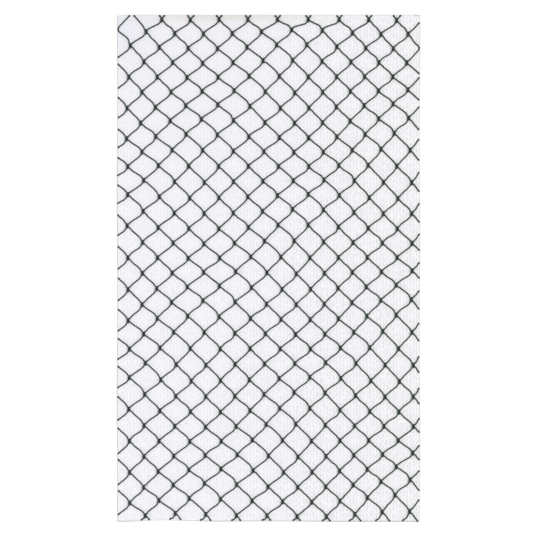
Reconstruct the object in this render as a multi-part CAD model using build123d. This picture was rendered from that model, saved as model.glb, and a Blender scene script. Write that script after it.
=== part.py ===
from build123d import *
import os
from math import exp, hypot, pi, radians, sin, tan

# Cargo climbing net: knotted rope meshes lashed over a ribbed cloth panel that lies on the ground.
# Millimetres. X runs across the panel, Y along it towards its head, and Z points up, off the ground.
# The origin is the middle of the underside.

# Panel
panel_width = 1830
panel_length = 3060
cloth_thick = 3
corner_radius = 8
tape_wide = 40
tape_thick = 1.5
seam_inset = 34  # from the panel's edge to the stitching
seam_wide = 1
seam_high = 0.5

# Rope and lashings
rope_radius = 4
rib_gap = 0.6  # the ropes lie on the crests of the ribs, not on the ground of the weave
lashing_wall = 1.2
lashing_long = 10
lashing_inset = 1
lashing_clear = 0.05
end_inset = 4
end_spacing = 6  # how far a rope stops short of the point that it shares with another end

# Meshes. Knots stand in rows across the panel, 0 at the head, and each row is half a mesh
# to the side of the one above. Columns count half meshes from the panel's middle.
half_mesh = 90.15
row_pitch = 91.6
first_column, last_column = -9, 10
last_row = 33
middle_shift = -45  # of column 0, in row 0, from the panel's middle
head_row = 1530
lean = 0.8  # each row stands this much further to the right than the one above
rise = 0.2  # each column stands this much higher than the one to its left
knot_room = 28  # least distance from a knot's middle to the head or foot of the panel
outside_knot = (-9, 0)  # the head left corner's knot stands just off the panel, so it was never tied
outside_by = 9
edge_turns = {(-10, 1), (11, 2)}  # here a rope just reaches a side edge and turns back without a knot
turn_long = 18
turn_inset = 6
turn_radius = 6

# The meshes were pulled out of square as they were tied, the same way every 12 rows.
# Each wave: columns per 20, rows per 12, height, and start in turns.
waves_across = [(-1, 0, 7.5, 0.3), (-1.5, 1, 6.5, 0.78), (1.5, 1, 5, 0.7), (0, 2, 2.5, 0.47)]
waves_along = [(1.5, 1, 8.5, 0.96), (-1.5, 1, 5.5, 0.34), (0.5, 1, 3, 0.42), (3, 2, 2.5, 0.66), (0, 0.5, 3.5, 0.63)]
# Three corners are drawn in: column, row, pull across, pull along.
corner_pulls = [(-10, 1, 32, 0), (11, 3, -24, 0), (11, 33, -26, 22)]
pull_reach = 2.5
head_tuck = 19  # the head row is drawn down by this, and each row after it by half as much
head_shift = 10

# Knot: the elbow of the rope on the left is hooked round the elbow of the rope on the right
knot_half_long = 2.2 * rope_radius
knot_depth = 1.9 * rope_radius
knot_rise = 3 * rope_radius
bar_sag = 8  # how far a high bar drops between its knots
tip_radius = 1.35 * rope_radius
knot_radius = 2.5 * rope_radius
sag_radius = 120
sharp_turn = 60  # degrees, as at the tip of an elbow
long_run = 32
arc_share = 0.45  # most of a run that the arc at its end may take
same_length = 1e-6

cloth_top = tape_thick + cloth_thick
low = cloth_top + rib_gap + rope_radius
high = low + knot_rise
inner_x = panel_width / 2 - end_inset
inner_y = panel_length / 2 - end_inset


def wave_sum(waves, column, row):
    return sum(
        height * sin(2 * pi * (across * column / 20 + along * row / 12 + start))
        for across, along, height, start in waves
    )


def knot_middle(column, row):
    """Where a knot stands on the panel. Columns and rows just past the edges are where the edge ropes point."""
    x = middle_shift + half_mesh * column + lean * row + wave_sum(waves_across, column, row)
    y = head_row - row_pitch * row + rise * column + wave_sum(waves_along, column, row)
    x += head_shift * exp(-row)
    y -= head_tuck * exp(-row / 1.5)
    for at_column, at_row, across, along in corner_pulls:
        share = exp(-((column - at_column) ** 2 + (row - at_row) ** 2) / (2 * pull_reach**2))
        x += across * share
        y += along * share
    if (column, row) == outside_knot:
        y = panel_length / 2 + outside_by
    elif (column, row) in edge_turns:
        x = (panel_width / 2 - turn_inset) * (1 if x > 0 else -1)
    elif 0 <= row <= last_row:
        y = max(min(y, panel_length / 2 - knot_room), knot_room - panel_length / 2)
    return x, y


def is_knot(column, row):
    return first_column <= column <= last_column and 0 <= row <= last_row and (column, row) != outside_knot


def edge_point(start, target):
    """Where a bar that runs from start to target ends: at the panel's edge, or just short of the target."""
    run_x, run_y = target[0] - start[0], target[1] - start[1]
    share = 1 - end_spacing / hypot(run_x, run_y)
    if run_x:
        share = min(share, ((inner_x if run_x > 0 else -inner_x) - start[0]) / run_x)
    if run_y:
        share = min(share, ((inner_y if run_y > 0 else -inner_y) - start[1]) / run_y)
    return start[0] + run_x * share, start[1] + run_y * share


def knot_points(column, row, points_left):
    """A rope's three points in a knot, from the head end to the foot end, round an elbow to one side."""
    x, y = knot_middle(column, row)
    top, bottom = (low, high) if points_left else (high, low)
    tip = -knot_depth if points_left else knot_depth
    return [
        (x, y + knot_half_long, top),
        (x + tip, y, (low + high) / 2),
        (x, y - knot_half_long, bottom),
    ]


def turn_points(column, row):
    """Two points of a rope that turns back at a side edge without a knot."""
    x, y = knot_middle(column, row)
    return [(x, y + turn_long / 2, low), (x, y - turn_long / 2, low)]


def zigzag_column(left_column, row):
    """The column that a rope touches in this row: even rows have their knots in odd columns."""
    return left_column if (left_column + row) % 2 else left_column + 1


def strands(left_column):
    """The stretches of one rope that lie on the panel, each a list of stations from head to foot."""
    found, stretch = [], []
    for row in range(last_row + 2):
        station = (zigzag_column(left_column, row), row)
        if is_knot(*station) or station in edge_turns:
            stretch.append(station)
        elif stretch:
            found.append(stretch)
            stretch = []
    return found


def rope_route(left_column, stations):
    """The points of a rope tied at these stations, from its head end to its foot end.

    It zigzags between its left column and the next. Bars that fall to the right run high and sag
    between their knots, and bars that fall to the left lie on the cloth.
    """
    route = []
    for column, row in stations:
        here = turn_points(column, row)
        if is_knot(column, row):
            here = knot_points(column, row, column == left_column)
        if route and column > left_column:
            before = route[-1]
            route.append(((before[0] + here[0][0]) / 2, (before[1] + here[0][1]) / 2, high - bar_sag))
        route += here
    above, below = stations[0][1] - 1, stations[-1][1] + 1
    head_end = edge_point(route[0], knot_middle(zigzag_column(left_column, above), above))
    foot_end = edge_point(route[-1], knot_middle(zigzag_column(left_column, below), below))
    return [(*head_end, low)] + route + [(*foot_end, low)]


def rope(route):
    """A round rope along straight runs joined by tangent arcs."""
    corners = [Vector(*point) for point in route]
    radii = []
    for before, here, after in zip(corners, corners[1:], corners[2:]):
        turn = (here - before).get_angle(after - here)
        nearest = min((here - before).length, (after - here).length)
        largest = arc_share * nearest / tan(radians(turn / 2))
        wanted = sag_radius if nearest > long_run else tip_radius if turn > sharp_turn else knot_radius
        if abs(nearest - turn_long) < same_length:
            wanted = turn_radius
        radii.append(min(largest, wanted))
    path = FilletPolyline(*corners, radius=radii)
    return sweep(Plane(origin=path @ 0, z_dir=path % 0) * Circle(rope_radius), path=path)


def lashing(middle, along):
    """Thread wound over a straight stretch of rope, and down to the cloth on both sides of it."""
    outer = rope_radius + lashing_wall
    across = along.cross(Vector(0, 0, 1)).normalized()
    section = Plane(origin=middle - along * lashing_long / 2, x_dir=across, z_dir=along)
    down = -1 if section.y_dir.Z > 0 else 1
    foot = 2 * (middle.Z - cloth_top)
    saddle = Circle(outer) + Pos(0, down * foot / 2) * Rectangle(2 * outer, foot)
    wound = extrude(section * (saddle - Circle(rope_radius + lashing_clear)), amount=lashing_long)
    room = 2 * lashing_long + 4 * outer
    above_cloth = Pos(middle.X, middle.Y, cloth_top + foot) * Box(room, room, 2 * foot)
    return wound & above_cloth


def end_lashing(end, inside):
    """The lashing at a rope's end, where inside is the next point of its route."""
    along = (Vector(*inside) - Vector(*end)).normalized()
    return lashing(Vector(*end) + along * (lashing_inset + lashing_long / 2), along)


def panel_slab(width, length, thick, x, y, z):
    """A rectangle of cloth or tape whose outer corners follow the panel's rounded ones."""
    outline = extrude(Pos(0, 0, z) * RectangleRounded(panel_width, panel_length, corner_radius), amount=thick)
    return outline & Pos(x, y, z + thick / 2) * Box(width, length, thick)


def tapes():
    """Four tapes behind the panel's edges, the two side ones running full length."""
    side_x = (panel_width - tape_wide) / 2
    side_y = (panel_length - tape_wide) / 2
    across = panel_width - 2 * tape_wide
    return {
        "back_tape_left": panel_slab(tape_wide, panel_length, tape_thick, -side_x, 0, 0),
        "back_tape_right": panel_slab(tape_wide, panel_length, tape_thick, side_x, 0, 0),
        "back_tape_head": panel_slab(across, tape_wide, tape_thick, 0, side_y, 0),
        "back_tape_foot": panel_slab(across, tape_wide, tape_thick, 0, -side_y, 0),
    }


def seams():
    """Four lines of stitching that hold the tapes, raised on the face of the cloth."""
    side_x = panel_width / 2 - seam_inset
    side_y = panel_length / 2 - seam_inset
    z = cloth_top + seam_high / 2
    long_seam = Box(seam_wide, 2 * side_y + seam_wide, seam_high)
    cross_seam = Box(2 * side_x - seam_wide, seam_wide, seam_high)
    return {
        "seam_left": Pos(-side_x, 0, z) * long_seam,
        "seam_right": Pos(side_x, 0, z) * long_seam,
        "seam_head": Pos(0, side_y, z) * cross_seam,
        "seam_foot": Pos(0, -side_y, z) * cross_seam,
    }


def nearest_edge(end):
    """The name of the panel's edge that a rope's end lies at."""
    gaps = {
        "left": panel_width / 2 + end[0],
        "right": panel_width / 2 - end[0],
        "head": panel_length / 2 - end[1],
        "foot": panel_length / 2 + end[1],
    }
    return min(gaps, key=gaps.get)


def save(name, solids):
    shape = solids[0] if len(solids) == 1 else Compound(label=name, children=solids)
    export_step(shape, f"parts/{name}.step")


# The net: long ropes from head to foot, and short bights between the outer knots and the side edges
stretches = {column: strands(column) for column in range(first_column - 1, last_column + 1)}
routes = {"left_bights": [rope_route(first_column - 1, stations) for stations in stretches[first_column - 1]]}
for number, column in enumerate(range(first_column, last_column), start=1):
    routes[f"net_rope_{number:02d}"] = [rope_route(column, stations) for stations in stretches[column]]
routes["right_bights"] = [rope_route(last_column, stations) for stations in stretches[last_column]]

lashings = {"left": [], "right": [], "head": [], "foot": []}
for bights in routes.values():
    for route in bights:
        for end, inside in ((route[0], route[1]), (route[-1], route[-2])):
            lashings[nearest_edge(end)].append(end_lashing(end, inside))
for column, row in edge_turns:
    turn = knot_middle(column, row)
    lashings[nearest_edge(turn)].append(lashing(Vector(*turn, low), Vector(0, -1, 0)))

os.makedirs("parts", exist_ok=True)
save("cloth_panel", [panel_slab(panel_width, panel_length, cloth_thick, 0, 0, tape_thick)])
for name, solid in (tapes() | seams()).items():
    save(name, [solid])
for name, bights in routes.items():
    save(name, [rope(route) for route in bights])
for edge, solids in lashings.items():
    save(f"lashings_{edge}", solids)
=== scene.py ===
from math import atan2, cos, exp, hypot, pi, sin
from random import Random

import bmesh
import bpy
from mathutils import Matrix, Vector, noise


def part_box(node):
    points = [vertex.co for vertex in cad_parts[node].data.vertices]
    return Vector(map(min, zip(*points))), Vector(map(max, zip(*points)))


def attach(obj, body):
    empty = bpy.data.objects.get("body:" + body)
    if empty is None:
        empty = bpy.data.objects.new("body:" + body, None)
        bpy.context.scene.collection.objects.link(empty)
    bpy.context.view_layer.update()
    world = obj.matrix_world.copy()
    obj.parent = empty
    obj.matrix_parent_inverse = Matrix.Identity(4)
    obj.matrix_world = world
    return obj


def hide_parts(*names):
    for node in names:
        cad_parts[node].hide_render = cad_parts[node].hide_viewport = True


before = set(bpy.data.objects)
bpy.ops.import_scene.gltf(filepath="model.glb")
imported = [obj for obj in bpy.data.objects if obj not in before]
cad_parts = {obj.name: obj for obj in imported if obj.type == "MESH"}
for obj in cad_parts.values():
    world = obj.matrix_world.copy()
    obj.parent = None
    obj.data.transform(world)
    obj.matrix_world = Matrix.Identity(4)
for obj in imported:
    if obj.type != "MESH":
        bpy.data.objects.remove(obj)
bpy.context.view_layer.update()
print("frame loaded,", len(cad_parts), "nodes")

halfWide, halfLong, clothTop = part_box("cloth_panel")[1]


# how the panel lies on the ground: everything on it goes through settle()
lie = {
    "roll": 0.0010,  # slow rise and fall of the cloth
    "rollLong": 0.5,
    "rollMiddle": 0.55,
    "rollSwing": 0.9,
    "creases": (-0.306, 0.328),  # where the panel was folded in three
    "creaseHigh": 0.0012,
    "creaseWide": 0.012,
    "hemReach": 0.2,  # how far up from the foot its ripple is felt
    "hemRipple": 0.004,
    "hemLift": 0.0025,
    "hemWave": 0.66,
    "hemStart": -0.59,  # across the panel, where the ripple is strongest
    "hemFade": 0.6,
    "hemSlant": 0.0045,
    "liftWave": 0.47,
    "liftMiddle": 0.55,
    "liftSwing": 0.45,
    "sideWave": 0.0015,
    "sideTurn": 5.3,
    "sideShift": 0.7,
}


def ease(share):
    share = max(0.0, min(1.0, share))
    return share * share * (3 - 2 * share)


def settle(point):
    x, y, z = point
    roll = noise.noise(Vector((x / lie["rollLong"], y / lie["rollLong"], 3.1)))
    z += lie["roll"] * (lie["rollMiddle"] + lie["rollSwing"] * roll)
    for crease in lie["creases"]:
        z += lie["creaseHigh"] * exp(-(((x - crease) / lie["creaseWide"]) ** 2))
    foot = ease(1 - (y + halfLong) / lie["hemReach"])
    across = x - lie["hemStart"]
    swell = exp(-across / lie["hemFade"]) * cos(2 * pi * across / lie["hemWave"])
    y += foot * (lie["hemRipple"] * swell - lie["hemSlant"] * x)
    lift = lie["liftMiddle"] + lie["liftSwing"] * sin(2 * pi * x / lie["liftWave"] + 1)
    z += foot * lie["hemLift"] * lift
    shift = lie["sideShift"] * (1 if x > 0 else -1)
    x += lie["sideWave"] * (x / halfWide) ** 5 * sin(lie["sideTurn"] * y + shift)
    return Vector((x, y, z))


class Wire:
    # an output socket of a material's tree, so that shader maths reads as plain expressions
    def __init__(self, tree, socket=None):
        self.tree = tree
        self.socket = socket

    def node(self, kind, settings=None, sockets=None, out=0):
        made = self.tree.nodes.new(kind)
        for name, value in (settings or {}).items():
            setattr(made, name, value)
        for name, value in (sockets or {}).items():
            if isinstance(value, Wire):
                self.tree.links.new(value.socket, made.inputs[name])
            else:
                made.inputs[name].default_value = value
        return Wire(self.tree, made.outputs[out])

    def maths(self, operation, *values):
        return self.node("ShaderNodeMath", {"operation": operation}, dict(enumerate(values)))

    def cosine(self):
        return self.maths("COSINE", self)

    def clip(self):
        return self.node("ShaderNodeClamp", {}, {"Value": self})

    def bell(self, middle, width):
        return self.maths("EXPONENT", -1.0 * ((self - middle) / width) ** 2)

    def blend(self, first, second):
        # two colours mixed by this mask
        return self.node("ShaderNodeMix", {"data_type": "RGBA"}, {0: self, 6: first, 7: second}, 2)

    def __add__(self, other):
        return self.maths("ADD", self, other)

    def __radd__(self, other):
        return self.maths("ADD", other, self)

    def __sub__(self, other):
        return self.maths("SUBTRACT", self, other)

    def __rsub__(self, other):
        return self.maths("SUBTRACT", other, self)

    def __mul__(self, other):
        return self.maths("MULTIPLY", self, other)

    def __rmul__(self, other):
        return self.maths("MULTIPLY", other, self)

    def __truediv__(self, other):
        return self.maths("DIVIDE", self, other)

    def __pow__(self, other):
        return self.maths("POWER", self.maths("ABSOLUTE", self), other)


def startMaterial(name):
    material = bpy.data.materials.new(name)
    material.use_nodes = True
    tree = material.node_tree
    return material, Wire(tree), tree.nodes["Principled BSDF"]


def finishMaterial(wire, shader, varying, fixed):
    for name, value in fixed.items():
        shader.inputs[name].default_value = value
    for name, value in varying.items():
        wire.tree.links.new(value.socket, shader.inputs[name])


def objectPlace(wire):
    place = wire.node("ShaderNodeTexCoord", out="Object")
    return place, [wire.node("ShaderNodeSeparateXYZ", {}, {0: place}, axis) for axis in "XYZ"]


def edgeGap(wire, x, y):
    # how far inside the panel's nearest edge a point is
    return wire.maths("MINIMUM", halfWide - wire.maths("ABSOLUTE", x), halfLong - wire.maths("ABSOLUTE", y))


def mottle(wire, place, scale, detail=2.0):
    return wire.node("ShaderNodeTexNoise", {}, {"Vector": place, "Scale": scale, "Detail": detail})


clothLook = {
    "ribPitch": 0.0201,
    "crossPitch": 0.0314,
    "weavePitch": 0.0016,
    "white": (0.84, 0.837, 0.853, 1),
    # grey is painted shade: in the rib troughs and in the fine grooves between cords and weave threads
    "grey": (0.58, 0.58, 0.61, 1),
    "lavender": (0.775, 0.762, 0.84, 1),
    "shade": (0.745, 0.74, 0.765, 1),
    "ecru": (0.645, 0.62, 0.595, 1),
    "corner": (0.69, 0.70, 0.755, 1),
    # painted shade along the panel's edges: its colour, how far in it reaches and how fast it fades
    "hemShade": (0.58, 0.58, 0.60, 1),
    "cordsPerRib": 6,
    "hemShadeWide": 0.009,
    "hemFade": 0.006,
}


def makeRibbedCloth():
    look = clothLook
    material, wire, shader = startMaterial("ribbedCloth")
    place, (x, y, z) = objectPlace(wire)
    wander = mottle(wire, place, 2.3)
    ribs = (x * (2 * pi / look["ribPitch"])).cosine()
    crossing = (y * (2 * pi / look["crossPitch"]) + wander * 9.0 + x * 40.0).cosine()
    relief = ribs * (0.4 + 0.6 * crossing)
    # painted shade in the rib troughs (darker where the ribs dip), mixed with random mottle
    troughShadeAndMottle = (0.45 - 0.5 * relief + (mottle(wire, place, 60.0) - 0.5) * 1.6).clip()
    colour = (troughShadeAndMottle * 0.75).blend(look["white"], look["grey"])
    left = (0.5 - x * 0.75 + (wander - 0.5) * 1.2).clip()
    colour = (left * 0.4).blend(colour, look["lavender"])
    leftHead = y.bell(halfLong, 0.9) * x.bell(-0.5, 0.75)
    colour = (leftHead * 0.6).blend(colour, look["shade"])
    corner = x.bell(-halfWide, 0.22) * y.bell(halfLong, 0.3)
    colour = (corner * 0.8).blend(colour, look["corner"])
    headStrip = y.bell(halfLong, 0.04) * x.bell(-0.25, 0.5)
    colour = headStrip.blend(colour, look["ecru"])
    # painted shade along the edges, darkest within a few millimetres of the rim
    hemShade = (look["hemShadeWide"] - edgeGap(wire, x, y)) / look["hemFade"] * 0.7
    colour = hemShade.clip().blend(colour, look["hemShade"])
    cords = (x * (2 * pi * look["cordsPerRib"] / look["ribPitch"])).cosine()
    warp = (x * (2 * pi / look["weavePitch"])).cosine()
    weft = (y * (2 * pi / look["weavePitch"])).cosine()
    # painted shade in the grooves between the cords and between the weave threads
    colour = ((0.5 - 0.35 * cords - 0.15 * warp * weft) * 0.12).clip().blend(colour, look["grey"])
    height = relief * 0.0003 + cords * 0.00018 + warp * weft * 0.00012
    normal = wire.node("ShaderNodeBump", {}, {"Strength": 0.5, "Distance": 1.0, "Height": height})
    rough = 0.8 + 0.1 * troughShadeAndMottle
    finishMaterial(wire, shader, {"Base Color": colour, "Normal": normal, "Roughness": rough},
                   {"Sheen Weight": 0.15, "Specular IOR Level": 0.25})
    return material


tapeLook = {"white": (0.76, 0.755, 0.77, 1), "shade": (0.60, 0.60, 0.63, 1), "twill": 0.0024}


def makeEdgeTape():
    look = tapeLook
    material, wire, shader = startMaterial("edgeTape")
    place, (x, y, z) = objectPlace(wire)
    twill = ((x + y) * (2 * pi / look["twill"])).cosine()
    chevron = ((x - y) * (2 * pi / look["twill"])).cosine()
    worn = mottle(wire, place, 30.0, 4.0)
    mask = (0.3 + 0.2 * twill + (worn - 0.5) * 0.8).clip()
    normal = wire.node("ShaderNodeBump", {}, {"Strength": 0.5, "Distance": 1.0,
                                              "Height": (twill + 0.5 * chevron) * 0.00008})
    finishMaterial(wire, shader, {"Base Color": mask.blend(look["white"], look["shade"]), "Normal": normal,
                                  "Roughness": 0.72 + 0.2 * worn}, {"Sheen Weight": 0.1})
    return material


threadLook = {"pale": (0.82, 0.80, 0.79, 1), "dull": (0.62, 0.60, 0.60, 1), "twist": 0.0011}


def makeSeamThread():
    look = threadLook
    material, wire, shader = startMaterial("seamThread")
    place, (x, y, z) = objectPlace(wire)
    twist = ((x + y + z) * (2 * pi / look["twist"])).cosine()
    mask = (0.4 + 0.3 * twist + (mottle(wire, place, 60.0) - 0.5)).clip()
    normal = wire.node("ShaderNodeBump", {}, {"Strength": 0.4, "Distance": 1.0, "Height": twist * 0.00005})
    finishMaterial(wire, shader, {"Base Color": mask.blend(look["pale"], look["dull"]), "Normal": normal,
                                  "Roughness": 0.5 + 0.2 * mask}, {})
    return material


ropeLook = {
    "plaits": 6,  # strands that show round the rope, each way
    "plaitLong": 0.013,
    "green": (0.024, 0.044, 0.031, 1),
    # groove is painted shade in the hollows between the plaits
    "groove": (0.012, 0.022, 0.016, 1),
    "worn": (0.058, 0.082, 0.067, 1),
    "tip": (0.012, 0.015, 0.013, 1),
    "tipReach": 0.019,
    "tipFade": 0.006,
    "yarnLong": 0.0009,
}


def makeGreenRope():
    look = ropeLook
    material, wire, shader = startMaterial("greenRope")
    place, (x, y, z) = objectPlace(wire)
    lay = wire.node("ShaderNodeUVMap", {"uv_map": "lay"})
    along = wire.node("ShaderNodeSeparateXYZ", {}, {0: lay}, "X")
    around = wire.node("ShaderNodeSeparateXYZ", {}, {0: lay}, "Y")
    turns = around * (2 * pi * look["plaits"])
    run = along * (2 * pi / look["plaitLong"])
    right = (turns + run).cosine()
    left = (turns - run).cosine()
    plait = right.maths("MAXIMUM", right, left)
    yarn = (along * (2 * pi / look["yarnLong"]) + turns * 3.0).cosine()
    fuzz = mottle(wire, place, 400.0, 3.0)
    depth = (plait * 0.5 + 0.5).clip()
    wear = (mottle(wire, place, 9.0, 3.0) * 1.8 - 0.6).clip()
    # the groove colour is painted shade, laid where the plait pattern dips between strands
    colour = depth.blend(look["groove"], look["green"])
    colour = (wear * depth * 0.6).blend(colour, look["worn"])
    tip = ((look["tipReach"] - edgeGap(wire, x, y)) / look["tipFade"]).clip()
    colour = (tip * 0.85).blend(colour, look["tip"])
    height = plait * 0.00045 + yarn * 0.00006 + fuzz * 0.0003
    normal = wire.node("ShaderNodeBump", {}, {"Strength": 0.7, "Distance": 1.0, "Height": height})
    finishMaterial(wire, shader, {"Base Color": colour, "Normal": normal, "Roughness": 0.62 + 0.25 * fuzz},
                   {"Sheen Weight": 0.04, "Specular IOR Level": 0.25})
    return material


twineLook = {"dark": (0.013, 0.016, 0.015, 1), "dusty": (0.045, 0.052, 0.048, 1), "twist": 0.0012}


def makeLashingTwine():
    look = twineLook
    material, wire, shader = startMaterial("lashingTwine")
    place, (x, y, z) = objectPlace(wire)
    dust = mottle(wire, place, 120.0, 3.0)
    twist = ((x - y + z) * (2 * pi / look["twist"])).cosine()
    mask = (dust * 1.4 - 0.4 + 0.15 * twist).clip()
    normal = wire.node("ShaderNodeBump", {}, {"Strength": 0.5, "Distance": 1.0, "Height": twist * 0.0001})
    finishMaterial(wire, shader, {"Base Color": mask.blend(look["dark"], look["dusty"]), "Normal": normal,
                                  "Roughness": 0.45 + 0.3 * dust}, {})
    return material


ribbedCloth = makeRibbedCloth()
edgeTape = makeEdgeTape()
seamThread = makeSeamThread()
greenRope = makeGreenRope()
lashingTwine = makeLashingTwine()
print("materials made")


def addPiece(name, mesh, material, nodes):
    mesh.materials.clear()
    mesh.materials.append(material)
    for face in mesh.polygons:
        face.use_smooth = True
    piece = bpy.data.objects.new(name, mesh)
    bpy.context.scene.collection.objects.link(piece)
    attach(piece, "root")
    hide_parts(*nodes)
    return piece


def meshFrom(bm, name):
    mesh = bpy.data.meshes.new(name)
    bm.to_mesh(mesh)
    bm.free()
    return mesh


cloth = {
    "stepsPerRib": 5,
    "ribHigh": 0.0005,
    "thick": 0.0026,
    "endReach": 0.07,  # the rows stand closer together this near the head and the foot
    "endRows": 14,
    "midRows": 62,
    "seamInset": 0.034,
    "seamPull": 0.0007,
    "seamReach": 0.007,  # how far from a seam the ribs are pressed flat
    "seamFlat": 0.8,
    "rimDrop": 0.0011,
    "rimReach": 0.005,
    "cornerRadius": 0.008,
    "frayReach": 0.05,  # the head left corner has frayed
    "frayDeep": 0.006,
    "frayInside": 0.015,
    "frayThreads": 160,
}


def seamGap(x, y):
    # distance from the nearest line of stitching
    inset = cloth["seamInset"]
    return min(abs(halfWide - inset - abs(x)), abs(halfLong - inset - abs(y)))


def clothHeight(x, y):
    pressed = exp(-((seamGap(x, y) / cloth["seamReach"]) ** 2))
    rib = cloth["ribHigh"] * cos(2 * pi * x / clothLook["ribPitch"])
    edge = min(halfWide - abs(x), halfLong - abs(y))
    rolled = cloth["rimDrop"] * ease(1 - edge / cloth["rimReach"])
    return clothTop + rib * (1 - cloth["seamFlat"] * pressed) - cloth["seamPull"] * pressed - rolled


def roundCorner(x, y):
    radius = cloth["cornerRadius"]
    overX, overY = abs(x) - (halfWide - radius), abs(y) - (halfLong - radius)
    if overX > 0 and overY > 0:
        reach = hypot(overX, overY)
        if reach > radius:
            x -= (overX - overX * radius / reach) * (1 if x > 0 else -1)
            y -= (overY - overY * radius / reach) * (1 if y > 0 else -1)
    fromCorner = hypot(x + halfWide, y - halfLong)
    if fromCorner < cloth["frayReach"]:
        edge = min(halfWide + x, halfLong - y)
        near = ease(1 - edge / cloth["frayInside"])
        fray = cloth["frayDeep"] * (1 - fromCorner / cloth["frayReach"]) * near
        threads = cloth["frayThreads"]
        ragged = 0.5 + 0.5 * noise.noise(Vector((x * threads, y * threads, 0.4)))
        x += fray * ragged
        y -= fray * (1 - ragged * 0.6)
    return x, y


def makeCloth():
    ribs = 2 * halfWide / clothLook["ribPitch"]
    across = int(ribs * cloth["stepsPerRib"])
    endStep = cloth["endReach"] / cloth["endRows"]
    foot = [-halfLong + endStep * row for row in range(cloth["endRows"])]
    midLong = 2 * (halfLong - cloth["endReach"])
    middle = [-halfLong + cloth["endReach"] + midLong * row / cloth["midRows"]
              for row in range(cloth["midRows"] + 1)]
    rows = foot + middle + [-y for y in reversed(foot)]
    bm = bmesh.new()
    bmesh.ops.create_grid(bm, x_segments=across, y_segments=len(rows) - 1, size=1.0)
    for vert in bm.verts:
        row = round((vert.co.y + 1) / 2 * (len(rows) - 1))
        x, y = roundCorner(vert.co.x * halfWide, rows[row])
        vert.co = settle((x, y, clothHeight(x, y)))
    piece = addPiece("clothPanel", meshFrom(bm, "clothPanel"), ribbedCloth, ["cloth_panel"])
    wall = piece.modifiers.new("clothThickness", "SOLIDIFY")
    wall.thickness = cloth["thick"]
    wall.offset = -1
    return piece


clothPanel = makeCloth()
print("cloth panel laid")


tape = {"wide": 0.04, "thick": 0.0014, "step": 0.02, "acrossSteps": 8, "selvedge": 0.0002}


def makeTape(side, node):
    upright = side in ("left", "right")
    sign = 1 if side in ("right", "head") else -1
    long = halfLong if upright else halfWide - tape["wide"]
    bm = bmesh.new()
    alongSteps = int(2 * long / tape["step"])
    bmesh.ops.create_grid(bm, x_segments=tape["acrossSteps"], y_segments=alongSteps, size=1.0)
    for vert in bm.verts:
        across, along = vert.co.x * tape["wide"] / 2, vert.co.y * long
        if upright:
            x, y = sign * (halfWide - tape["wide"] / 2) + across, along
        else:
            x, y = along, sign * (halfLong - tape["wide"] / 2) - across
        x, y = roundCorner(x, y)
        rim = tape["selvedge"] * (abs(vert.co.x) > 0.7)
        vert.co = settle((x, y, tape["thick"] - tape["selvedge"] + rim))
    bmesh.ops.recalc_face_normals(bm, faces=bm.faces)
    if bm.faces[:][0].normal.z < 0:
        bmesh.ops.reverse_faces(bm, faces=bm.faces)
    piece = addPiece("edgeTape" + side.title(), meshFrom(bm, "edgeTape"), edgeTape, [node])
    wall = piece.modifiers.new("tapeThickness", "SOLIDIFY")
    wall.thickness = tape["thick"] - tape["selvedge"]
    wall.offset = -1
    return piece


tapes = [makeTape(side, "back_tape_" + side) for side in ("left", "right", "head", "foot")]
print("edge tapes laid")


seam = {"pitch": 0.009, "long": 0.0068, "wide": 0.0013, "high": 0.0009}


def addStitch(bm, x, y, turn):
    start = settle((x, y, clothHeight(x, y) + 0.0002))
    size = Matrix.Diagonal((seam["wide"] / 2, seam["long"] / 2, seam["high"] / 2, 1.0))
    place = Matrix.Translation(start) @ Matrix.Rotation(turn, 4, "Z") @ size
    bmesh.ops.create_uvsphere(bm, u_segments=6, v_segments=4, radius=1.0, matrix=place)


def makeSeam(side):
    chance = Random(side)
    upright = side in ("left", "right")
    sign = 1 if side in ("right", "head") else -1
    inset = cloth["seamInset"]
    far = (halfWide if upright else halfLong) - inset
    long = (halfLong if upright else halfWide) - inset
    count = int(2 * long / seam["pitch"])
    bm = bmesh.new()
    for number in range(count):
        along = -long + (number + 0.5) * 2 * long / count
        off = sign * far + chance.uniform(-0.0004, 0.0004)
        lean = chance.uniform(-0.08, 0.08)
        if upright:
            addStitch(bm, off, along, lean)
        else:
            addStitch(bm, along, off, pi / 2 + lean)
    return addPiece("seam" + side.title(), meshFrom(bm, "seam"), seamThread, ["seam_" + side])


seams = [makeSeam(side) for side in ("left", "right", "head", "foot")]
print("seams stitched")


net = {
    "halfMesh": 0.09015,
    "rowPitch": 0.0916,
    "firstColumn": -9,
    "lastColumn": 10,
    "lastRow": 33,
    "middleShift": -0.045,
    "headRow": 1.53,
    "lean": 0.0008,
    "rise": 0.0002,
    "knotRoom": 0.028,
    "headTuck": 0.019,
    "headShift": 0.010,
    "outsideKnot": (-9, 0),  # would stand just off the panel, so it was never tied
    "outsideBy": 0.009,
    "edgeTurns": ((-10, 1), (11, 2)),  # a rope just reaches the side edge here and turns back
    "turnInset": 0.006,
    "endInset": 0.004,
    "endSpacing": 0.006,
    "knotHalfLong": 0.0088,
    "pullReach": 2.5,
}
# columns per 20, rows per 12, height and start in turns
wavesAcross = [(-1, 0, 0.0075, 0.3), (-1.5, 1, 0.0065, 0.78), (1.5, 1, 0.005, 0.7), (0, 2, 0.0025, 0.47)]
wavesAlong = [(1.5, 1, 0.0085, 0.96), (-1.5, 1, 0.0055, 0.34), (0.5, 1, 0.003, 0.42),
              (3, 2, 0.0025, 0.66), (0, 0.5, 0.0035, 0.63)]
cornerPulls = [(-10, 1, 0.032, 0), (11, 3, -0.024, 0), (11, 33, -0.026, 0.022)]


def waveSum(waves, column, row):
    return sum(high * sin(2 * pi * (across * column / 20 + along * row / 12 + start))
               for across, along, high, start in waves)


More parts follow.
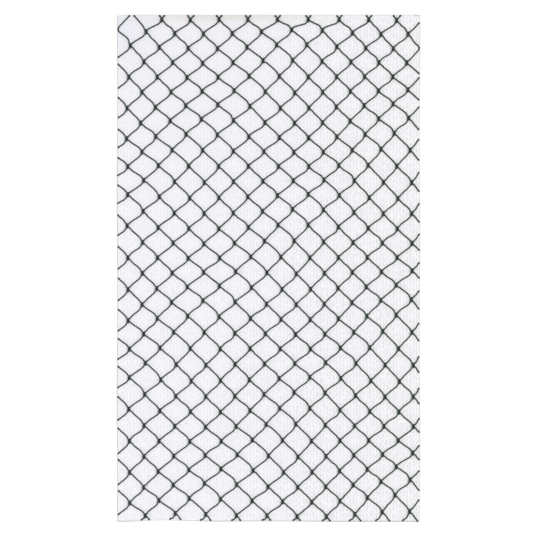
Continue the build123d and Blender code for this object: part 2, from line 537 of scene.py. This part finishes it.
def knotMiddle(column, row):
    x = net["middleShift"] + net["halfMesh"] * column + net["lean"] * row + waveSum(wavesAcross, column, row)
    y = net["headRow"] - net["rowPitch"] * row + net["rise"] * column + waveSum(wavesAlong, column, row)
    x += net["headShift"] * exp(-row)
    y -= net["headTuck"] * exp(-row / 1.5)
    for atColumn, atRow, across, along in cornerPulls:
        share = exp(-((column - atColumn) ** 2 + (row - atRow) ** 2) / (2 * net["pullReach"] ** 2))
        x += across * share
        y += along * share
    if (column, row) == net["outsideKnot"]:
        y = halfLong + net["outsideBy"]
    elif (column, row) in net["edgeTurns"]:
        x = (halfWide - net["turnInset"]) * (1 if x > 0 else -1)
    elif 0 <= row <= net["lastRow"]:
        y = max(min(y, halfLong - net["knotRoom"]), net["knotRoom"] - halfLong)
    return Vector((x, y))


def isKnot(column, row):
    inside = net["firstColumn"] <= column <= net["lastColumn"] and 0 <= row <= net["lastRow"]
    return inside and (column, row) != net["outsideKnot"]


def zigzagColumn(leftColumn, row):
    return leftColumn if (leftColumn + row) % 2 else leftColumn + 1


def stretches(leftColumn):
    found, stretch = [], []
    for row in range(net["lastRow"] + 2):
        station = (zigzagColumn(leftColumn, row), row)
        if isKnot(*station) or station in net["edgeTurns"]:
            stretch.append(station)
        elif stretch:
            found.append(stretch)
            stretch = []
    return found


def edgeEnd(start, target):
    # where a bar from start to target ends: at the panel's edge, or just short of the target
    run = target - start
    share = 1 - net["endSpacing"] / run.length
    innerX, innerY = halfWide - net["endInset"], halfLong - net["endInset"]
    if run.x:
        share = min(share, ((innerX if run.x > 0 else -innerX) - start.x) / run.x)
    if run.y:
        share = min(share, ((innerY if run.y > 0 else -innerY) - start.y) / run.y)
    return start + run * share


rope = {
    "thick": 0.008,
    "lift": 0.0046,  # centre of a rope that lies on the ribs, above the cloth
    "legLong": 5.6,  # rope thicknesses from a knot's middle to where its legs run straight
    "drawn": 0.8,  # how far the knots are pulled down flat
    "knotShift": (0.4, -0.15),
    "bow": 0.0012,  # how unevenly the bars bow outwards
    "swing": 0.0011,  # and how unevenly they swing to both sides
    "slackDiagonal": 3,  # the bars that fall to the right from this diagonal of knots are slack
    "slackEvery": 12,
    "slackBow": 0.0042,
    "trim": 0.017,  # a cut leg keeps no point of its knot this near its end
    "rimRoom": 0.002,
    "tail": (0.013, 0.005),  # points of the straight bit at a rope's end, from its tip
    "barShares": (0.34, 0.67),  # points along a bar
    "roundSteps": 3,
    "alongSteps": 2,
}
# A knot, in rope thicknesses: x across, y towards the head, z up from a rope that lies on the cloth.
# The left rope makes a plain elbow, and the right rope comes up through it, goes round behind
# both its legs and is tucked under itself.
plainElbow = [
    (-3.55, 4.4, 0.05), (-2.55, 3.5, 0.25), (-1.75, 2.75, 0.55), (-1.35, 1.75, 0.85), (-0.5, 0.85, 0.95),
    (0.45, 0.45, 0.95), (0.8, -0.3, 1.05), (0.35, -1.0, 1.15), (-0.5, -1.35, 1.1), (-1.15, -1.95, 0.85),
    (-1.6, -2.95, 0.5), (-2.45, -3.8, 0.25), (-3.4, -4.6, 0.05),
]
wrappedElbow = [
    (4.0, 3.9, 0.05), (2.9, 2.95, 0.5), (1.9, 2.1, 1.1), (1.0, 1.2, 1.7), (-0.2, 0.8, 2.0),
    (-1.0, 0.15, 2.2), (-0.8, -0.75, 2.25), (-0.3, -1.4, 2.15), (0.0, -1.85, 1.1), (-0.35, -1.5, 0.1),
    (-0.8, -0.9, 0.0), (-0.9, -0.15, 0.0), (-0.45, 0.55, 0.0), (0.0, 1.15, 0.1), (0.05, 1.55, 1.1),
    (0.1, 1.3, 2.35), (0.35, 0.8, 2.85), (0.4, 0.1, 2.45), (0.0, -0.15, 1.6), (-0.05, -0.5, 0.7),
    (0.5, -0.95, 0.2), (1.25, -1.35, 0.2), (2.0, -2.0, 0.2), (2.85, -2.95, 0.15), (3.9, -4.0, 0.05),
]
# a rope that turns back at the left edge, in metres from the turn
edgeTurn = [(0.016, 0.024), (0.005, 0.015), (0.0, 0.007), (0.0, -0.007), (0.005, -0.015), (0.016, -0.024)]


def legPoint(spot, middle, towards, plain):
    # a knot's point, with its leg swung into line with the next knot
    flat = Vector(spot[:2])
    nominal = Vector((-1 if plain else 1, 1 if flat.y > 0 else -1))
    aim = towards - middle
    swing = atan2(nominal.x * aim.y - nominal.y * aim.x, nominal.dot(aim))
    share = min(1.0, (flat.length / rope["legLong"]) ** 2)
    flat.rotate(Matrix.Rotation(swing * share, 2))
    flat += Vector(rope["knotShift"])
    flat *= rope["thick"]
    high = spot[2] * rope["thick"] * rope["drawn"]
    return Vector((middle.x + flat.x, middle.y + flat.y, clothTop + rope["lift"] + high))


def knotLine(leftColumn, station, above, below):
    middle = knotMiddle(*station)
    if station in net["edgeTurns"]:
        side = 1 if middle.x < 0 else -1
        return [Vector((middle.x + side * x, middle.y + y, clothTop + rope["lift"])) for x, y in edgeTurn]
    plain = station[0] != leftColumn
    spots = plainElbow if plain else wrappedElbow
    half = len(spots) // 2
    return [legPoint(spot, middle, above if number < half else below, plain)
            for number, spot in enumerate(spots)]


def trimLeg(line, end):
    # the points of a knot that stay when its leg is cut off at the panel's edge
    return [point for point in line if (point.xy - end).length > rope["trim"] and inside(point)]


def inside(point):
    rim = net["endInset"] + rope["rimRoom"]
    return abs(point.x) < halfWide - rim and abs(point.y) < halfLong - rim


def tailPoints(end, start):
    # the last straight bit of a rope, from the point inside the panel out to the edge
    inward = (start - end).normalized()
    z = clothTop + rope["lift"]
    return [Vector((*(end + inward * back), z)) for back in rope["tail"]] + [Vector((*end, z))]


def barPoints(start, end):
    # two points that carry a bar from one knot's leg to the next knot's leg
    run = end - start
    found = [start + run * share for share in rope["barShares"]]
    for point in found:
        point.z = clothTop + rope["lift"]
    return found


def bendBar(points, upper, lower, station, fallsRight):
    # bows and swings the points of one bar sideways, more in its middle than at its knots
    chance = Random(97 * (station[0] + 20) + station[1] % rope["slackEvery"] + 5000 * fallsRight)
    bow = chance.gauss(0, rope["bow"])
    swing = chance.gauss(0, rope["swing"])
    if fallsRight and (sum(station) - rope["slackDiagonal"]) % rope["slackEvery"] == 0:
        bow += rope["slackBow"]
    run = lower - upper
    side = Vector((-run.y, run.x)).normalized() * (1 if fallsRight else -1)
    for point in points:
        share = (point.xy - upper).dot(run) / run.length_squared
        if 0 < share < 1:
            off = side * (bow * sin(pi * share) + swing * sin(2 * pi * share))
            point.x += off.x
            point.y += off.y


def ropeLine(leftColumn, stations):
    # the control points of one rope from its head end to its foot end
    top, bottom = stations[0][1] - 1, stations[-1][1] + 1
    middles = [knotMiddle(*station) for station in stations]
    lift = Vector((0, net["knotHalfLong"]))
    headEnd = edgeEnd(middles[0] + lift, knotMiddle(zigzagColumn(leftColumn, top), top))
    footEnd = edgeEnd(middles[-1] - lift, knotMiddle(zigzagColumn(leftColumn, bottom), bottom))
    aims = [headEnd] + middles + [footEnd]
    knots = [knotLine(leftColumn, station, aims[number], aims[number + 2])
             for number, station in enumerate(stations)]
    bars = [barPoints(above[-1], below[0]) for above, below in zip(knots, knots[1:])]
    for number, bar in enumerate(bars):
        above, below = knots[number], knots[number + 1]
        fallsRight = stations[number + 1][0] > stations[number][0]
        bendBar(above[-3:] + bar + below[:3], middles[number], middles[number + 1], stations[number],
                fallsRight)
    knots[0] = trimLeg(knots[0], headEnd)
    knots[-1] = trimLeg(knots[-1], footEnd)
    line = list(reversed(tailPoints(headEnd, middles[0] + lift))) + knots[0]
    for bar, knot in zip(bars, knots[1:]):
        line += bar + knot
    return line + tailPoints(footEnd, middles[-1] - lift)


def tubeMesh(name, line):
    data = bpy.data.curves.new(name, "CURVE")
    data.dimensions = "3D"
    data.bevel_depth = rope["thick"] / 2
    data.bevel_resolution = rope["roundSteps"]
    data.use_fill_caps = True
    data.resolution_u = rope["alongSteps"]
    spline = data.splines.new("NURBS")
    spline.points.add(len(line) - 1)
    for point, place in zip(spline.points, line):
        point.co = (*settle(place), 1.0)
    spline.order_u = 4
    spline.use_endpoint_u = True
    holder = bpy.data.objects.new(name, data)
    mesh = bpy.data.meshes.new_from_object(holder)
    bpy.data.objects.remove(holder)
    bpy.data.curves.remove(data)
    return mesh


def addLay(mesh):
    # a UV map that follows the rope: metres along it, and once round it
    sides = 4 + 2 * rope["roundSteps"]
    rings = len(mesh.vertices) // sides
    centres = [sum((mesh.vertices[ring * sides + side].co for side in range(sides)), Vector()) / sides
               for ring in range(rings)]
    along = [0.0]
    for before, here in zip(centres, centres[1:]):
        along.append(along[-1] + (here - before).length)
    while mesh.uv_layers:
        mesh.uv_layers.remove(mesh.uv_layers[0])
    lay = mesh.uv_layers.new(name="lay")
    for face in mesh.polygons:
        spots = [index % sides for index in face.vertices]
        wraps = max(spots) - min(spots) > sides / 2
        for loop, index, spot in zip(face.loop_indices, face.vertices, spots):
            turned = spot + sides if wraps and spot < sides / 2 else spot
            lay.data[loop].uv = (along[min(index // sides, rings - 1)], turned / sides)


def makeRope(name, lines, node):
    bm = bmesh.new()
    for line in lines:
        mesh = tubeMesh(name, line)
        addLay(mesh)
        bm.from_mesh(mesh)
        bpy.data.meshes.remove(mesh)
    return addPiece(name, meshFrom(bm, name), greenRope, [node])


ropeLines = {column: [ropeLine(column, stretch) for stretch in stretches(column)]
             for column in range(net["firstColumn"] - 1, net["lastColumn"] + 1)}
netRopes = [makeRope("leftBights", ropeLines[net["firstColumn"] - 1], "left_bights")]
for number, column in enumerate(range(net["firstColumn"], net["lastColumn"]), start=1):
    netRopes.append(makeRope(f"netRope{number:02d}", ropeLines[column], f"net_rope_{number:02d}"))
netRopes.append(makeRope("rightBights", ropeLines[net["lastColumn"]], "right_bights"))
print("ropes tied:", sum(len(piece.data.polygons) for piece in netRopes), "faces")


lashing = {
    "turns": 4,
    "long": 0.009,
    "wire": 0.0012,
    "inset": 0.006,
    "sides": 8,
    "sunk": 0.0004,
    "groove": 0.0003,
    "turnHalf": 0.0008,
    "legSpot": (0.0047, -0.0022),  # where the twine goes down into the cloth, beside and below the rope
    "legTilt": 0.35,
    "legThick": 0.0008,
    "legHigh": 0.0034,
    "turnInward": 0.0018,
    "looseEnds": ((0.889, 0.4), (0.910, 2.1)),  # curls of twine at the head right corner
    "curlInset": 0.0042,
    "curlLift": 0.0012,
    "curlThick": 0.0009,
    "curlRadius": 0.0019,
    "curlTurn": 1.7 * pi,
    "curlSteps": 9,
}


def windingMesh():
    # turns of twine round a rope that runs along Y, with their ends pulled down into the cloth
    bm = bmesh.new()
    radius = rope["thick"] / 2
    half = lashing["long"] / 2
    profile = [bm.verts.new((0, -half, radius - lashing["sunk"]))]
    for turn in range(lashing["turns"]):
        middle = -half + lashing["long"] * (turn + 0.5) / lashing["turns"]
        profile.append(bm.verts.new((0, middle - lashing["turnHalf"], radius + lashing["groove"])))
        profile.append(bm.verts.new((0, middle, radius + lashing["wire"])))
        profile.append(bm.verts.new((0, middle + lashing["turnHalf"], radius + lashing["groove"])))
    profile.append(bm.verts.new((0, half, radius - lashing["sunk"])))
    edges = [bm.edges.new(pair) for pair in zip(profile, profile[1:])]
    bmesh.ops.spin(bm, geom=profile + edges, cent=(0, 0, 0), axis=(0, 1, 0), angle=2 * pi,
                   steps=lashing["sides"], use_merge=True, use_duplicate=False)
    bmesh.ops.remove_doubles(bm, verts=bm.verts, dist=0.00001)
    for side in (-1, 1):
        beside, below = lashing["legSpot"]
        lean = Matrix.Rotation(-side * lashing["legTilt"], 4, "Y")
        tilt = Matrix.Translation((side * beside, 0, below)) @ lean
        size = Matrix.Diagonal((lashing["legThick"], half * 0.8, lashing["legHigh"], 1.0))
        bmesh.ops.create_uvsphere(bm, u_segments=6, v_segments=5, radius=1.0, matrix=tilt @ size)
    bmesh.ops.recalc_face_normals(bm, faces=bm.faces)
    return meshFrom(bm, "winding")


def nearestEdge(end):
    gaps = {"left": halfWide + end.x, "right": halfWide - end.x,
            "head": halfLong - end.y, "foot": halfLong + end.y}
    return min(gaps, key=gaps.get)


def windingPlaces():
    places = {"left": [], "right": [], "head": [], "foot": []}
    for lines in ropeLines.values():
        for line in lines:
            for end, inner in ((line[0], line[2]), (line[-1], line[-3])):
                along = (inner - end).normalized()
                places[nearestEdge(end)].append((end + along * lashing["inset"], along))
    for station in net["edgeTurns"]:
        turn = knotMiddle(*station)
        inward = lashing["turnInward"] * (1 if turn.x < 0 else -1)
        spot = Vector((turn.x + inward, turn.y, clothTop + rope["lift"]))
        places[nearestEdge(turn)].append((spot, Vector((0, -1, 0))))
    return places


def addTuft(bm, x, y, turn):
    # a loose curl of twine lying on the hem
    middle = Matrix.Translation(settle((x, y, clothTop + lashing["curlLift"])))
    place = middle @ Matrix.Rotation(turn, 4, "Z")
    start = Matrix.Translation((lashing["curlRadius"], 0, 0)) @ Matrix.Rotation(pi / 2, 4, "X")
    ring = bmesh.ops.create_circle(bm, cap_ends=True, segments=6, radius=lashing["curlThick"],
                                   matrix=place @ start)
    faces = list({face for vert in ring["verts"] for face in vert.link_faces})
    edges = list({edge for vert in ring["verts"] for edge in vert.link_edges})
    bmesh.ops.spin(bm, geom=faces + ring["verts"] + edges, cent=place.translation, axis=(0, 0, 1),
                   dvec=(0, 0, 0.0001), angle=lashing["curlTurn"], steps=lashing["curlSteps"])


winding = windingMesh()
lashings = []
for edge, places in windingPlaces().items():
    bm = bmesh.new()
    for spot, along in places:
        before = len(bm.verts)
        bm.from_mesh(winding)
        bm.verts.ensure_lookup_table()
        turn = Matrix.Rotation(atan2(along.y, along.x) - pi / 2, 4, "Z")
        bmesh.ops.transform(bm, matrix=Matrix.Translation(settle(spot)) @ turn, verts=bm.verts[before:])
    if edge == "head":
        for x, turn in lashing["looseEnds"]:
            addTuft(bm, x, halfLong - lashing["curlInset"], turn)
    name = "lashings" + edge.title()
    lashings.append(addPiece(name, meshFrom(bm, name), lashingTwine, ["lashings_" + edge]))
bpy.data.meshes.remove(winding)
print("lashings wound")


studio = {
    "lens": 120.0,
    "viewWide": 3.2193,
    "offset": (-0.0127, 0.0088),
    "skyLight": 0.575,
    "keyLight": 2.16,
    "keySoft": 0.7,
    "keyFrom": (0.2, 0.24, 1.0),
    "sensor": 36.0,
    "seeFar": 100.0,
    "floorHalf": 40.0,
    "floor": (0.875, 0.875, 0.875, 1),
    "floorGrain": (0.86, 0.86, 0.865, 1),
}


def makeFloor():
    bm = bmesh.new()
    bmesh.ops.create_grid(bm, x_segments=1, y_segments=1, size=studio["floorHalf"])
    floor = bpy.data.objects.new("floor", meshFrom(bm, "floor"))
    bpy.context.scene.collection.objects.link(floor)
    material, wire, shader = startMaterial("paleFloor")
    place = objectPlace(wire)[0]
    grain = mottle(wire, place, 3.0)
    finishMaterial(wire, shader, {"Base Color": grain.blend(studio["floor"], studio["floorGrain"])},
                   {"Roughness": 0.9, "Specular IOR Level": 0.1})
    floor.data.materials.append(material)


def makeLights():
    world = bpy.data.worlds.new("studio")
    bpy.context.scene.world = world
    world.use_nodes = True
    sky = world.node_tree.nodes["Background"]
    sky.inputs["Color"].default_value = (1, 1, 1, 1)
    sky.inputs["Strength"].default_value = studio["skyLight"]
    sun = bpy.data.lights.new("key", "SUN")
    sun.energy = studio["keyLight"]
    sun.angle = studio["keySoft"]
    key = bpy.data.objects.new("key", sun)
    key.rotation_mode = "QUATERNION"
    key.rotation_quaternion = Vector(studio["keyFrom"]).to_track_quat("Z", "Y")
    bpy.context.scene.collection.objects.link(key)


def makeCamera():
    camera = bpy.data.objects.new("camera", bpy.data.cameras.new("camera"))
    camera.data.lens = studio["lens"]
    camera.data.sensor_width = studio["sensor"]
    camera.data.clip_end = studio["seeFar"]
    high = studio["viewWide"] * studio["lens"] / camera.data.sensor_width
    camera.location = (*studio["offset"], high + clothTop)
    bpy.context.scene.collection.objects.link(camera)
    bpy.context.scene.camera = camera


makeFloor()
makeLights()
makeCamera()
bpy.context.scene.view_settings.view_transform = "Standard"
print("studio set")
